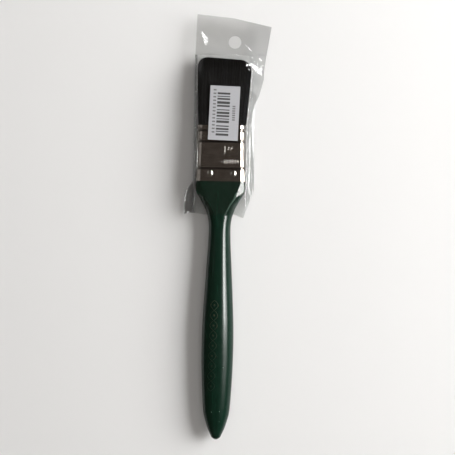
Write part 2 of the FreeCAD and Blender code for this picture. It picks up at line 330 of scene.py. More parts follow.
def grid_faces(rows, columns, closed):
    """Quads between rows of points; closed joins each row's ends."""
    faces = []
    for r in range(rows - 1):
        for c in range(columns if closed else columns - 1):
            d = (c + 1) % columns
            low = r * columns
            faces.append((low + c, low + d, low + columns + d, low + columns + c))
    return faces


def capped_tube(rings):
    """Points and faces of a closed body from rings of equally many points, with a fan at each end."""
    count = len(rings[0])
    points = np.concatenate(rings + [rings[0].mean(0)[None], rings[-1].mean(0)[None]])
    faces = grid_faces(len(rings), count, True)
    start, end = len(points) - 2, len(points) - 1
    last = (len(rings) - 1) * count
    for c in range(count):
        d = (c + 1) % count
        faces.append((start, d, c))
        faces.append((end, last + c, last + d))
    return points, faces


def shell(grid, thickness, closed=False):
    """Points and faces of a thin closed body with a grid of points for its upper side; closed joins the
    rows' ends."""
    rows, columns = grid.shape[:2]
    along = np.gradient(grid, axis=0)
    if closed:
        across = (np.roll(grid, -1, 1) - np.roll(grid, 1, 1)) / 2
    else:
        across = np.gradient(grid, axis=1)
    normal = np.cross(across, along)
    normal /= np.maximum(np.linalg.norm(normal, axis=2, keepdims=True), 1e-9)
    points = np.concatenate([grid.reshape(-1, 3), (grid - normal * thickness).reshape(-1, 3)])
    upper = grid_faces(rows, columns, closed)
    count = rows * columns
    faces = upper + [tuple(count + i for i in reversed(face)) for face in upper]
    low = list(range(columns))
    high = [(rows - 1) * columns + c for c in range(columns)]
    if closed:
        rims = [low + low[:1], (high + high[:1])[::-1]]
    else:
        right = [r * columns + columns - 1 for r in range(1, rows)]
        left = [r * columns for r in range(rows - 1, -1, -1)]
        rims = [low + right + high[-2::-1] + left[1:]]
    for rim in rims:
        for i, j in zip(rim, rim[1:]):
            faces.append((j, i, count + i, count + j))
    return points, faces


def decals(patches, surface, raised=0.025, sunk=0.03):
    """Points and faces of thin closed patches lying on a surface. Each patch is an outline, walked
    anticlockwise, in the surface's own coordinates, and surface turns those into a point."""
    pieces = []
    for outline in patches:
        n = len(outline)
        places = [np.array(surface(a, b)) for a, b in outline]
        points = [p + (0, 0, raised) for p in places] + [p - (0, 0, sunk) for p in places]
        sides = [((i + 1) % n, i, n + i, n + (i + 1) % n) for i in range(n)]
        pieces.append((points, [tuple(range(n)), tuple(reversed(range(n, 2 * n))), *sides]))
    return joined(pieces)


def spline(places, values):
    """A natural cubic spline through values at places, as a function."""
    x = np.asarray(places, float)
    y = np.asarray(values, float)
    h = np.diff(x)
    n = len(x)
    system = np.eye(n)
    right = np.zeros(n)
    for i in range(1, n - 1):
        system[i, i - 1 : i + 2] = h[i - 1], 2 * (h[i - 1] + h[i]), h[i]
        right[i] = 6 * ((y[i + 1] - y[i]) / h[i] - (y[i] - y[i - 1]) / h[i - 1])
    bend = np.linalg.solve(system, right)

    def at(t):
        t = np.asarray(t, float)
        i = np.clip(np.searchsorted(x, t) - 1, 0, n - 2)
        a = (x[i + 1] - t) / h[i]
        b = (t - x[i]) / h[i]
        curve = ((a**3 - a) * bend[i] + (b**3 - b) * bend[i + 1]) * h[i] ** 2 / 6
        return a * y[i] + b * y[i + 1] + curve

    return at


def smoothstep(low, high, value):
    t = np.clip((np.asarray(value, float) - low) / (high - low), 0, 1)
    return t * t * (3 - 2 * t)


def plateau(low, full, ebb, end, value):
    """Rises from 0 at low to 1 at full, and falls from ebb to 0 at end."""
    return smoothstep(low, full, value) * (1 - smoothstep(ebb, end, value))


def between(table, place, column):
    """A column's value at a place, straight between the table's rows, which start with their places."""
    return np.interp(place, [row[0] for row in table], [row[column] for row in table])


def side_shape(half_width, half_thick, flat, round_share, slope):
    """A side falls from the flat in a bevel, sloping by some degrees, and an ellipse then rounds its edge.
    Gives the bevel's end and its height there, and the ellipse's half width, half height and first angle."""
    fall = math.tan(math.radians(slope))
    edge = (half_width - flat) * round_share
    end = half_width - edge
    height = half_thick - (end - flat) * fall
    ratio = edge * fall / height
    start = ratio / (1 - ratio)
    return end, height, edge / (1 - start), height / math.sqrt(1 - start**2), math.acos(start)


def side_points(half_width, half_thick, flat, round_share, slope, count):
    """Points down the right side, from its upper ridge to its lower one, closest where it turns most."""
    end, height, wide, high, start = side_shape(half_width, half_thick, flat, round_share, slope)
    turn = start * np.linspace(1, 0, 200)
    bevel = np.linspace(0, 1, 40)[:-1]
    bevel_tilt = np.full(len(bevel), math.radians(slope))
    tilt = np.concatenate([bevel_tilt, np.arctan2(np.cos(turn) / wide, np.sin(turn) / high)])
    x = np.concatenate([flat + (end - flat) * bevel, half_width - wide + wide * np.cos(turn)])
    z = np.concatenate([half_thick + (height - half_thick) * bevel, high * np.sin(turn)])
    x = np.concatenate([x, x[-2::-1]])
    z = np.concatenate([z, -z[-2::-1]])
    tilt = np.concatenate([tilt, math.pi - tilt[-2::-1]])
    weight = np.concatenate([[0], np.cumsum(np.hypot(np.diff(x), np.diff(z)) + 1.5 * np.abs(np.diff(tilt)))])
    places = np.linspace(0, weight[-1], count)
    return np.interp(places, weight, x), np.interp(places, weight, z)


def section(y, half_width, half_thick, flat, round_share, slope, flats=14, sides=56):
    """A ring across the brush: a front flat, a right side, a rear flat and a left side."""
    side_x, side_z = side_points(half_width, half_thick, flat, round_share, slope, sides)
    across = np.linspace(-flat, flat, flats + 2)[1:-1]
    x = np.concatenate([across, side_x, -across, -side_x])
    z = np.concatenate([np.full(flats, half_thick), side_z, np.full(flats, -half_thick), side_z[::-1]])
    return np.column_stack([x, np.full(len(x), y), z + AXIS_Z])


# -------------------- ferrule

FERRULE_LENGTH = node_box("ferrule")[1][1]
FERRULE_HALF_WIDTH = 13.0
FERRULE_HALF_THICK = 4.5
FERRULE_FLAT = 10.35  # half the width of the flat faces
FERRULE_TAPER = 0.3  # of its half width, over its length
FLAT_TAPER = 0.6
FERRULE_WALL = 0.3
LAP_HEIGHT = 0.25  # of the sheet's overlapping edge, on the rear face
BEVEL_SLOPE = 17.0  # degrees
ROUND_SHARE = 0.34  # of each side that is rounded, where the handle starts
BEADS = (7.0, 20.8, 26.4)
BEAD_HALF_WIDTH = 0.85
BEAD_DEPTH = 0.4
NAIL_NODES = ("nail_front_left", "nail_front_right", "nail_rear_left", "nail_rear_right")
# Struck marks on the front face, each a stroke from one point to another.
SIZE_STROKES = (((2.0, 14.1), (2.0, 17.9)), ((3.6, 16.3), (4.1, 17.7)), ((5.1, 16.3), (5.6, 17.7)))
PIPS = (((0.4, 9.9), (0.4, 10.4)), ((-2.9, 11.5), (-2.6, 11.9)))
BAR_PITCH = 1.34
BARS_STRUCK = tuple(((2.0 + BAR_PITCH * i, 9.3), (2.0 + BAR_PITCH * i, 11.1)) for i in range(6))
STROKE_HALF_WIDTH = 0.16
STROKE_LEAN = 0.31  # of a stroke's top, falling to the right


def nail_places():
    """Each nail's node, x, y, and whether it is on the front."""
    places = []
    for node in NAIL_NODES:
        low, high = node_box(node)
        places.append((node, (low[0] + high[0]) / 2, (low[1] + high[1]) / 2, high[2] > 2 * AXIS_Z - low[2]))
    return places


def bead_depth(y):
    depth = 0.0
    for bead in BEADS:
        depth += BEAD_DEPTH * float(1 - smoothstep(0.15, BEAD_HALF_WIDTH, abs(y - bead)))
    return depth


def build_marks(material):
    """The struck size and a row of ticks. A stroke's raised edge is a sliver that leans to the right."""
    half = STROKE_HALF_WIDTH
    strokes = []
    for (x0, y0), (x1, y1) in SIZE_STROKES + PIPS + BARS_STRUCK:

        def surface(x, y):
            middle = x0 + (x1 - x0) * (y - y0) / (y1 - y0)
            return x, y, AXIS_Z + FERRULE_HALF_THICK + STROKE_LEAN * (middle + half - x)

        outline = [(x0 - half, y0), (x0 + half, y0), (x1 + half, y1), (x1 - half, y1)]
        strokes.append(decals([outline], surface, 0.05, 0.25))
    points, faces = joined(strokes)
    add_piece("ferrule_marks", points, faces, "brush", material, smooth=False)


def ferrule_ring(y, inset):
    """A ring round the ferrule at y, inside its outer face by inset."""
    along = np.clip(y / FERRULE_LENGTH, 0, 1)
    taken = inset + bead_depth(y)
    return section(
        y,
        FERRULE_HALF_WIDTH - FERRULE_TAPER * along - taken,
        FERRULE_HALF_THICK - taken,
        FERRULE_FLAT - FLAT_TAPER * along,
        ROUND_SHARE + 0.26 * smoothstep(0, 12, y),
        BEVEL_SLOPE,
        flats=160,
        sides=44,
    )


def build_ferrule(material):
    """The folded band: its beads, the lap on the rear, dents where nails draw it in, and small waves."""
    lip = 0.12  # rounding of the cut edges
    outer = [ferrule_ring(y, 0.0) for y in np.linspace(lip, FERRULE_LENGTH - lip, 240)]
    points = np.concatenate([ferrule_ring(0.0, lip), *outer, ferrule_ring(FERRULE_LENGTH, lip)])
    front = points[:, 2] > AXIS_Z + FERRULE_HALF_THICK - 0.6
    rear = points[:, 2] < AXIS_Z - FERRULE_HALF_THICK + 0.6
    x, y = points[:, 0], points[:, 1]
    push = np.zeros(len(points))
    lap = LAP_HEIGHT * (1 - smoothstep(1.45, 1.65, np.abs(x))) * rear
    for _, nail_x, nail_y, is_front in nail_places():
        away = np.hypot(x - nail_x, y - nail_y)
        push -= 0.05 * (1 - smoothstep(1.6, 2.6, away)) * (front if is_front else rear)
    waves = [0.035 * noise.noise(Vector((px * 0.16, py * 0.16, 3.0 + pz))) for px, py, pz in points]
    points[:, 2] += np.where(front, 1, -1) * (push + waves + lap)
    beside_beads = [bead + step for bead in reversed(BEADS) for step in (1.2, 0.0, -1.2)]
    inner = [ferrule_ring(inner_y, FERRULE_WALL) for inner_y in (FERRULE_LENGTH, *beside_beads, 0.0)]
    points = np.concatenate([points, *inner])
    around = len(inner[0])
    quads = grid_faces(len(points) // around + 1, around, True)  # the last row is the first one again
    faces = [tuple(i % len(points) for i in quad) for quad in quads]
    obj = add_piece("ferrule_band", points, faces, "brush", material, "ferrule")
    groove_shade_shift = 0.4  # the painted shade lies on the beads' handle side
    # Painted shade in and beside the ferrule's grooves.
    add_shares(obj, "groove_painted_shade", [0.85 * bead_depth(y + groove_shade_shift) / BEAD_DEPTH for y in points[:, 1]])


# Radius, and height above the ferrule's face, from the top of the head to the point of the shank.
NAIL_HEAD = ((0.0, 0.40), (0.3, 0.395), (0.6, 0.36), (0.9, 0.30), (1.2, 0.21), (1.45, 0.10), (1.62, -0.02))
NAIL_SHANK = ((1.68, -0.12), (1.6, -0.22), (0.8, -0.26), (0.7, -0.4), (0.7, -2.8), (0.05, -4.0))


def build_nail(node, x, y, is_front, material):
    """A nail with a hammered dome and a shank."""
    rings = []
    for radius, height in NAIL_HEAD + NAIL_SHANK:
        ring = []
        for a in np.linspace(0, 2 * math.pi, 28, endpoint=False):
            px, py = radius * math.cos(a), radius * math.sin(a)
            hammered = 0.05 * noise.noise(Vector((px * 0.9 + x, py * 0.9, 7.0)))
            ring.append((px, py, height + (hammered if height > 0 else 0.0)))
        rings.append(np.array(ring))
    points, faces = capped_tube(rings)
    points[:, 2] += AXIS_Z + FERRULE_HALF_THICK
    if is_front:
        faces = flipped(faces)
    else:
        points[:, 2] = 2 * AXIS_Z - points[:, 2]
    points[:, :2] += (x, y)
    add_piece(node + "_head", points, faces, "brush", material, node)


# -------------------- handle

# Distance below the ferrule, half width, half thickness, half width of the flats, share of each side that is
# rounded rather than bevelled, and degrees by which the sides slope where they leave the flats.
HANDLE_STATIONS = (
    (0.0, FERRULE_HALF_WIDTH, FERRULE_HALF_THICK, FERRULE_FLAT, ROUND_SHARE, BEVEL_SLOPE),
    (1.8, 12.98, 4.57, 9.8, 0.22, 16.5),
    (5.6, 12.4, 4.68, 8.6, 0.12, 16.5),
    (8.9, 10.5, 4.68, 7.5, 1.0, 16.5),
    (12.5, 8.5, 4.56, 5.0, 1.0, 14.0),
    (17.5, 6.55, 4.4, 2.1, 1.0, 7.0),
    (23.0, 5.68, 4.35, 1.0, 1.0, 2.0),
    (28.5, 5.7, 4.35, 0.5, 1.0, 0.0),
    (42.0, 6.4, 4.75, 0.3, 1.0, 0.0),
    (61.0, 7.5, 5.22, 0.3, 1.0, 0.0),
    (69.0, 7.9, 5.3, 0.3, 1.0, 0.0),
    (87.0, 8.22, 5.1, 0.3, 1.0, 0.0),
    (104.0, 7.75, 4.75, 0.3, 1.0, 0.0),
    (115.0, 7.1, 4.4, 0.3, 1.0, 0.0),
    (120.5, 6.45, 4.1, 0.3, 1.0, 0.0),
    (124.5, 5.4, 3.75, 0.3, 1.0, 0.0),
    (128.5, 4.0, 3.0, 0.3, 1.0, 0.0),
    (131.3, 2.7, 2.2, 0.25, 1.0, 0.0),
    (132.6, 1.75, 1.5, 0.2, 1.0, 0.0),
    (133.1, 0.9, 0.8, 0.1, 1.0, 0.0),
)
HANDLE_PLACES, HANDLE_WIDTHS, HANDLE_THICKS = list(zip(*HANDLE_STATIONS))[:3]
HANDLE_CURVES = (spline(HANDLE_PLACES, HANDLE_WIDTHS), spline(HANDLE_PLACES, HANDLE_THICKS))
TENON_LENGTH = 11.0
TENON_INSET = 0.75  # past the ferrule's beads


def handle_sizes(distance):
    """The handle's section at a distance: its outline is smooth, and its ridges run in straight lines."""
    outline = [float(curve(distance)) for curve in HANDLE_CURVES]
    return outline + [float(between(HANDLE_STATIONS, distance, column)) for column in (3, 4, 5)]


def handle_height(x, distance):
    """Height of the handle's front surface above the ground at x."""
    half_width, half_thick, flat, round_share, slope = handle_sizes(distance)
    if abs(x) <= flat:
        return AXIS_Z + half_thick
    end, height, wide, high, _ = side_shape(half_width, half_thick, flat, round_share, slope)
    if abs(x) <= end:
        return AXIS_Z + half_thick + (height - half_thick) * (abs(x) - flat) / (end - flat)
    cosine = min((abs(x) - half_width + wide) / wide, 1.0)
    return AXIS_Z + high * math.sqrt(1 - cosine**2)


def build_handle(material):
    """The handle with its tenon, a painted highlight along the right shoulder's ridge and slight wear on the
    left one, and a smoother facet outside the ridge.
    """
    half_width, half_thick = FERRULE_HALF_WIDTH - TENON_INSET, FERRULE_HALF_THICK - TENON_INSET
    tenon = (half_width, half_thick, 10.0, ROUND_SHARE, BEVEL_SLOPE)
    rings = [section(y, *tenon) for y in (TENON_LENGTH, TENON_LENGTH / 2, 0.05)]
    end = HANDLE_PLACES[-1]
    shoulder, shaft, nose = np.linspace(0, 24, 90), np.arange(24.6, 118, 0.6), np.linspace(118.5, end, 50)
    for distance in np.concatenate([shoulder, shaft, nose]):
        rings.append(section(-distance, *handle_sizes(distance)))
    last = rings[-1]
    centre = last.mean(0)
    for turn in (30, 60, 80):
        ring = centre + (last - centre) * math.cos(math.radians(turn))
        ring[:, 1] -= 0.15 * math.sin(math.radians(turn))
        rings.append(ring)
    points, faces = capped_tube(rings)
    obj = add_piece("handle_lacquered", points, flipped(faces), "brush", material, "handle")
    ridge_highlight_and_wear = []
    facet = []
    for x, y, z in points:
        flat = handle_sizes(min(max(-y, 0), end))[2]
        facet.append(smoothstep(flat - 0.1, flat + 0.1, abs(x)) * (1 - smoothstep(8.0, 10.0, -y)))
        near = max(0.0, 1 - abs(abs(x) - flat - 0.08) / 0.32)
        # Painted highlight on the right ridge; the left one gets only slight wear.
        worn = 0.75 if x > 0 else 0.03
        ridge_highlight_and_wear.append(worn * plateau(4.5, 8.0, 14.0, 20.0, -y) * near if z > AXIS_Z + 3 else 0.0)
    add_shares(obj, "ridge_wear_and_painted_highlight", ridge_highlight_and_wear)
    add_shares(obj, "facet", facet)


# Distances down the handle of the gold braid, and the length of one eye of it and of one short stretch.
FOIL_START = 61.0
FOIL_END = 108.0
FOIL_WAVE = 5.2
FOIL_STEP = 0.3


def build_foil_mark(material):
    """A gold braid stamped down the handle: two waves that cross, with a pip in each eye."""
    patches = []
    steps = int((FOIL_END - FOIL_START) / FOIL_STEP)
    half_line, half_braid = 0.17, 1.9

    def middle(distance):
        return -1.8 - 0.027 * (distance - FOIL_START)

    for phase in (0, math.pi):
        for i in range(steps):
            corners = []
            for j, side in ((i, 1), (i, -1), (i + 1, -1), (i + 1, 1)):
                distance = FOIL_START + FOIL_STEP * j
                swing = half_braid * math.sin(math.pi * (distance - FOIL_START) / FOIL_WAVE + phase)
                corners.append((middle(distance) + swing + side * half_line, distance))
            patches.append(corners)
    turns = np.linspace(0, 2 * math.pi, 12, endpoint=False)
    for i in range(int((FOIL_END - FOIL_START) / FOIL_WAVE)):
        distance = FOIL_START + (i + 0.5) * FOIL_WAVE
        patches.append([(middle(distance) + 0.5 * math.cos(t), distance - 0.62 * math.sin(t)) for t in turns])
    points, faces = decals(patches, lambda x, distance: (x, -distance, handle_height(x, distance)), 0.02)
    add_piece("foil_braid", points, faces, "brush", material, smooth=False)


# Each is x, distance down the handle and radius.
NIBS = ((3.1, 95.6, 0.24), (-2.4, 118.6, 0.19), (1.6, 118.2, 0.18), (1.7, 123.5, 0.13))


def build_nibs(material):
    """Specks of dust that dried into the lacquer, as low domes."""
    domes = []
    turns = np.linspace(0, 2 * math.pi, 12, endpoint=False)
    for x, distance, radius in NIBS:
        rings = []
        for part, height in ((1.0, -0.05), (0.85, 0.05), (0.5, 0.11), (0.15, 0.13)):
            px = x + radius * part * np.cos(turns)
            py = distance - radius * part * np.sin(turns)
            heights = [handle_height(a, b) + height for a, b in zip(px, py)]
            rings.append(np.column_stack([px, -py, heights]))
        points, faces = capped_tube(rings)
        domes.append((points, flipped(faces)))
    points, faces = joined(domes)
    add_piece("lacquer_nibs", points, faces, "brush", material)


# -------------------- filaments

# Y, left edge, right edge and half thickness of the filaments.
BANK_STATIONS = (
    (13.5, -11.9, 11.9, 3.75),
    (28.0, -11.9, 11.9, 3.75),
    (30.0, -12.1, 12.8, 3.9),
    (40.0, -12.5, 13.6, 3.8),
    (52.0, -12.7, 14.6, 3.3),
    (60.0, -12.8, 15.1, 2.4),
    (64.4, -12.8, 15.1, 1.3),
)
TIP_RADII = (4.8, 6.4)  # of the tips' left and right corners
TIP_DROP = 1.0  # how much lower the right corner stands
STRANDS_PER_BANK = 2300
STRAND_SIDES = 3
STRAND_STATIONS = 7


def bank_at(y):
    """Left edge, right edge and half thickness of the filaments at y."""
    return [between(BANK_STATIONS, y, column) for column in (1, 2, 3)]


def tip_y(x):
    """The trimmed outline of the tips: rounded corners, and lower on the right."""
    tip, left, right = BANK_STATIONS[-1][:3]
    left_radius, right_radius = TIP_RADII
    past_left = left + left_radius - x
    past_right = x - right + right_radius
    if past_left > 0:
        return tip - left_radius + math.sqrt(max(left_radius**2 - past_left**2, 0))
    if past_right > 0:
        return tip - TIP_DROP - right_radius + math.sqrt(max(right_radius**2 - past_right**2, 0))
    return tip - TIP_DROP * -past_left / (right - left - left_radius - right_radius)


def build_filaments(node, side, material):
    """One bank of tapered strands; side is 1 for the front bank and -1 for the rear one."""
    rng = random.Random(11 + side)
    left, right, _ = bank_at(60.0)  # where the tips start to round
    root = tuple(reversed(range(STRAND_SIDES)))
    tip = tuple((STRAND_STATIONS - 1) * STRAND_SIDES + j for j in range(STRAND_SIDES))
    skin = grid_faces(STRAND_STATIONS, STRAND_SIDES, True) + [root, tip]
    strands = []
    shades = []
    for _ in range(STRANDS_PER_BANK):
        u = rng.uniform(-1, 1)  # from the left edge to the right one
        v = rng.uniform(0.02, 1) ** 0.8  # from the brush's middle plane to its face
        v *= 1 - 0.55 * max(0.0, (abs(u) - 0.82) / 0.18) ** 2
        end = tip_y((left + right) / 2 + u * (right - left) / 2) - abs(rng.gauss(0, 0.35)) - 0.25 * v
        start = 14.0 if v > 0.5 else 26.0
        sway = rng.gauss(0, 0.10)
        lift = rng.gauss(0, 0.06)
        shade = rng.random() ** 2
        turn = rng.uniform(0, 2 * math.pi)
        points = []
        for t in np.linspace(0, 1, STRAND_STATIONS):
            y = start + (end - start) * t
            low, high, thick = bank_at(y)
            free = max(0.0, (y - FERRULE_LENGTH) / 35)
            x = (low + high) / 2 + u * ((high - low) / 2 - 0.12) + sway * free * math.sin(2.5 * t + turn)
            z = AXIS_Z + side * (v * (thick - 0.12) + 0.05) + lift * free
            radius = 0.125 - 0.055 * free
            for j in range(STRAND_SIDES):
                a = turn + 2 * math.pi * j / STRAND_SIDES
                points.append((x + radius * math.cos(a), y, z + radius * math.sin(a)))
                shades.append(shade)
        strands.append((points, skin))
    points, faces = joined(strands)
    name = node + "_strands"
    obj = add_piece(name, points, faces, "brush", material, node, sharp_above=180.0)
    add_shares(obj, "strand_shade", shades)


# -------------------- sleeve

FILM = 0.1
CLEAR_HEIGHT = 10.42  # of the front ply over the ferrule, whose nails it must slide clear of
MOUTH = ((-16.0, -16.1), (-6.9, -17.1), (7.3, -16.8), (12.1, -18.7), (17.5, -3.8))  # X and Y of its edge
MOUTH_START = min(y for _, y in MOUTH)
POCKET_END = HEADER_LOW[1]
# The front ply, from the left seam over the brush to the right seam. Each line along the sleeve is a list
# of places: Y, X and Z. The film runs straight between them before it is smoothed.
FRONT_LINES = (
    ((-19, -14.4, 0.15), (58, -14.4, 0.15), (62, -14.3, 0.5), (65.5, -14.2, 5.3)),
    ((-19, -14.5, 3.2), (58, -14.5, 3.2), (62, -14.3, 3.8), (65.5, -14.1, 5.3)),
    ((-19, -14.2, 7.2), (52, -14.2, 7.2), (60, -13.9, 6.4), (65.5, -13.6, 5.3)),
    ((-19, -13.35, 10.42), (50, -13.2, 10.2), (58, -12.8, 8.3), (62.5, -12.5, 6.9), (65.5, -12.2, 5.3)),
    ((-19, -10.5, 10.5), (50, -10.5, 10.45), (58, -10.4, 8.9), (63.6, -10.0, 7.35), (65.5, -9.5, 5.35)),
    ((-19, 0.0, 10.5), (50, 0.0, 10.45), (58, 0.0, 9.0), (64.0, 0.5, 7.35), (65.5, 1.0, 5.35)),
    ((-19, 11.0, 10.5), (50, 11.2, 10.45), (58, 11.6, 9.35), (60.4, 11.9, 8.75), (64, 11.4, 6.9),
     (65.5, 11.0, 5.35)),
    ((-19, 12.2, 10.45), (29, 12.3, 10.45), (50, 13.3, 10.4), (58.9, 13.5, 9.35), (59.7, 13.5, 8.28),
     (61.3, 13.6, 8.2), (62.2, 13.6, 7.6), (64.3, 13.4, 6.5), (65.5, 13.4, 5.35)),
    ((-19, 13.4, 10.3), (29, 13.6, 10.35), (50, 15.3, 10.3), (57.2, 15.2, 9.5), (58.3, 15.2, 7.72),
     (61.6, 15.6, 7.6), (62.3, 15.6, 5.8), (65.5, 15.6, 5.35)),
    ((-19, 13.7, 6.0), (29, 13.9, 6.2), (50, 15.9, 7.6), (56.3, 16.4, 8.2), (57.2, 16.4, 7.38),
     (61.1, 16.8, 7.22), (61.8, 16.9, 5.7), (65.5, 17.0, 5.35)),
    ((-19, 14.0, 1.7), (-7, 14.0, 1.6), (-3, 14.0, 0.85), (29, 14.1, 0.9), (45, 16.0, 3.8),
     (55.2, 17.5, 6.4), (56.0, 17.6, 7.02), (60.3, 18.0, 6.85), (61.0, 18.2, 5.6), (65.5, 18.4, 5.35)),
    ((-19, 15.8, 0.42), (30, 15.8, 0.42), (38, 15.8, 0.38), (48, 18.6, 2.6), (53.6, 20.2, 6.25),
     (58.8, 20.6, 6.07), (59.5, 20.8, 5.35), (65.5, 21.8, 5.35)),
    ((-19, 17.7, 0.15), (40.2, 16.9, 0.15), (44.6, 19.1, 0.15), (52.8, 21.2, 5.0), (58.1, 21.5, 5.3),
     (65.5, 22.4, 5.3)),
)
# Y and X up the outer edge of the flap, which flares out at the mouth's left and ends at the left seam.
FLAP = ((-17.0, -18.8), (-8.1, -18.5), (-5.0, -17.8), (1.0, -14.35))


def beside_line(x, y, start, end):
    """Each place's share of the way from start to end, and its distance from that line towards +X."""
    dx, dy = end[0] - start[0], end[1] - start[1]
    length = math.hypot(dx, dy)
    away = ((x - start[0]) * dy - (y - start[1]) * dx) / math.copysign(length, dy)
    return ((x - start[0]) * dx + (y - start[1]) * dy) / length**2, away


def fold(x, y, start, end, width, height):
    """A straight sharp crease from start to end, fading at its ends."""
    t, away = beside_line(x, y, start, end)
    return height * np.exp(-((np.abs(away) / width) ** 1.4)) * plateau(-0.05, 0.2, 0.8, 1.05, t)


def tent(x, y, start, end, width, height, lean=3.0):
    """A crease from start to end, widest past its middle and gone at its ends. It falls evenly, over its
    width, towards +X, and lean times as gently towards -X."""
    t, away = beside_line(x, y, start, end)
    taper = np.sin(math.pi * np.clip(t, 0, 1) ** 1.5) ** 0.8
    return height * np.maximum(0, taper - np.where(away > 0, away, -away / lean) / width)


def ripples(a, b, seed):
    """Smooth noise from -1 to 1 over two fields of coordinates."""
    values = [noise.fractal(Vector((p, q, seed)), 1.0, 2.0, 3) for p, q in zip(a.ravel(), b.ravel())]
    return np.array(values).reshape(a.shape)


def smoothed(grid, axis, rounds):
    """The grid with each point moved towards its neighbours along an axis; the ends stay."""
    grid = np.moveaxis(grid, axis, 0).copy()
    for _ in range(rounds):
        grid[1:-1] = (grid[:-2] + grid[1:-1] + grid[2:]) / 3
    return np.moveaxis(grid, 0, axis)


def front_surface(y, place):
    """Points of the front ply: place is the line's number, and y is a field of the same shape."""
    low = np.clip(np.floor(place).astype(int), 0, len(FRONT_LINES) - 2)
    past = place - low
    rows, columns = np.indices(y.shape)
    found = []
    for column in (1, 2):
        values = np.array([between(line, y, column) for line in FRONT_LINES])
        found.append(values[low, rows, columns] * (1 - past) + values[low + 1, rows, columns] * past)
    return found


def build_front_film(material):
    """The front ply: up the left side, over the brush, and down to the seam on the right. It is smoothed,
    and then rippled and creased along its normal."""
    rows, columns = 300, 250
    guide = np.array([line[0][1:] for line in FRONT_LINES])
    steps = np.concatenate([[0], np.cumsum(np.hypot(*np.diff(guide, axis=0).T))])
    arc, upwards = np.meshgrid(np.linspace(0, steps[-1], columns), np.linspace(0, 1, rows))
    place = np.interp(arc, steps, np.arange(len(guide)))
    y = MOUTH_START + (POCKET_END - MOUTH_START) * upwards
    for _ in range(2):
        x, z = front_surface(y, place)
        low = between(MOUTH, x, 1)
        y = low + (POCKET_END - low) * upwards
    grid = smoothed(smoothed(np.stack([x, y, z], -1), 1, 4), 0, 3)

    x, y = grid[..., 0], grid[..., 1]
    normal = np.cross(np.gradient(grid, axis=1), np.gradient(grid, axis=0))
    normal /= np.linalg.norm(normal, axis=2, keepdims=True)
    right = smoothstep(13.6, 15.2, x)
    left = 1 - smoothstep(-13.6, -12.2, x)
    label = plateau(-9, -8, 10.4, 11.4, x) * plateau(18.5, 20, 51, 53, y)
    seam_strip = smoothstep(15.2, 16.4, x) * (1 - smoothstep(36, 42, y))
    push = 0.17 * right * (1 - 0.5 * seam_strip) * ripples(arc * 0.42, y * 0.045, 2.0)
    push += 0.16 * left * ripples(arc * 0.5, y * 0.06, 5.0)
    push += 0.10 * (1 - label) * ripples(x * 0.12, y * 0.09, 8.0)
    push += 0.05 * plateau(56, 61, 64, 65.4, y) * ripples(x * 0.30, y * 0.10, 3.0)
    push += 0.16 * (1 - smoothstep(-17, -9, y)) * ripples(x * 0.25, y * 0.2, 9.0)
    push += tent(x, y, (-12.1, 28.6), (-12.7, -2.0), 0.6, 0.23, 1.2)
    over_the_brush = smoothstep(28, 32, y) * (1 - smoothstep(16, 17, x))
    push *= 1 - 0.93 * smoothstep(10.5, 12.0, x) * np.maximum(over_the_brush, smoothstep(50, 54, y))
    push += tent(x, y, (18.0, 65.0), (19.4, 62.0), 1.2, 0.4, 1.5)
    push += tent(x, y, (19.6, 61.4), (21.5, 58.2), 0.4, 0.13)
    push *= plateau(0, 8, columns - 9, columns - 1, np.arange(columns))
    grid = grid + normal * push[..., None]
    clear_of = np.where((np.abs(x) < 12.2) & (y < 50), CLEAR_HEIGHT, 0.15)
    grid[..., 2] = np.maximum(grid[..., 2], clear_of)
    points, faces = shell(grid, FILM)
    obj = add_piece("sleeve_front_ply", points, faces, "sleeve", material, "sleeve_front_film")
    # Painted shade on the front ply: darker along its left edge and at its upper right.
    left_edge = 1 - smoothstep(-14.0, -12.6, points[:, 0])
    upper_right = smoothstep(12.5, 15, points[:, 0]) * smoothstep(38, 54, points[:, 1])
    add_shares(obj, "film_painted_shade", 0.38 * left_edge + 0.28 * upper_right)


def build_back_film(material):
    """The back ply, flat under the brush, with the flap at the mouth's left."""
    rows, columns = 220, 110
    across, upwards = np.meshgrid(np.linspace(0, 1, columns), np.linspace(0, 1, rows))
    left_seam, right_seam = FRONT_LINES[0], FRONT_LINES[-1]
    corner_x, corner_y = MOUTH[0]
    y = MOUTH_START + (POCKET_END - MOUTH_START) * upwards
    for _ in range(3):
        left = between(FLAP, y, 1)
        x = left + (between(right_seam, y, 1) - left) * across
        low = np.where(x < corner_x, corner_y - 0.35 * (corner_x - x), between(MOUTH, x, 1))
        y = low + (POCKET_END - low) * upwards
    to_right = smoothstep(14.0, 20.5, x)
    z = between(left_seam, y, 2) * (1 - to_right) + between(right_seam, y, 2) * to_right - 0.02
    flap = (1 - smoothstep(-14.9, -14.3, x)) * (1 - smoothstep(-2, 1, y))
    curl = smoothstep(0, 4.2, -14.5 - x)
    z = z + flap * (0.5 + 1.3 * curl + 0.45 * ripples(x * 0.35, y * 0.16, 4.0))
    z += flap * tent(x, y, (-17.9, -6.5), (-14.9, -16.6), 1.1, 0.55, 1.5)
    z += flap * fold(x, y, (-18.4, -10.5), (-15.0, -12.5), 0.35, 0.4)
    grid = np.stack([x, y, np.clip(z, FILM + 0.01, None)], -1)
    points, faces = shell(grid, FILM)
    obj = add_piece("sleeve_back_ply", points, faces, "sleeve", material, "sleeve_back_film")
    # Painted shade on the back ply: darker along its left edge, and more so over the flap.
    left_edge = 1 - smoothstep(-14.0, -12.6, points[:, 0])
    add_shares(obj, "film_painted_shade", left_edge * (0.38 + 0.22 * (1 - smoothstep(-3, 1, points[:, 1]))))


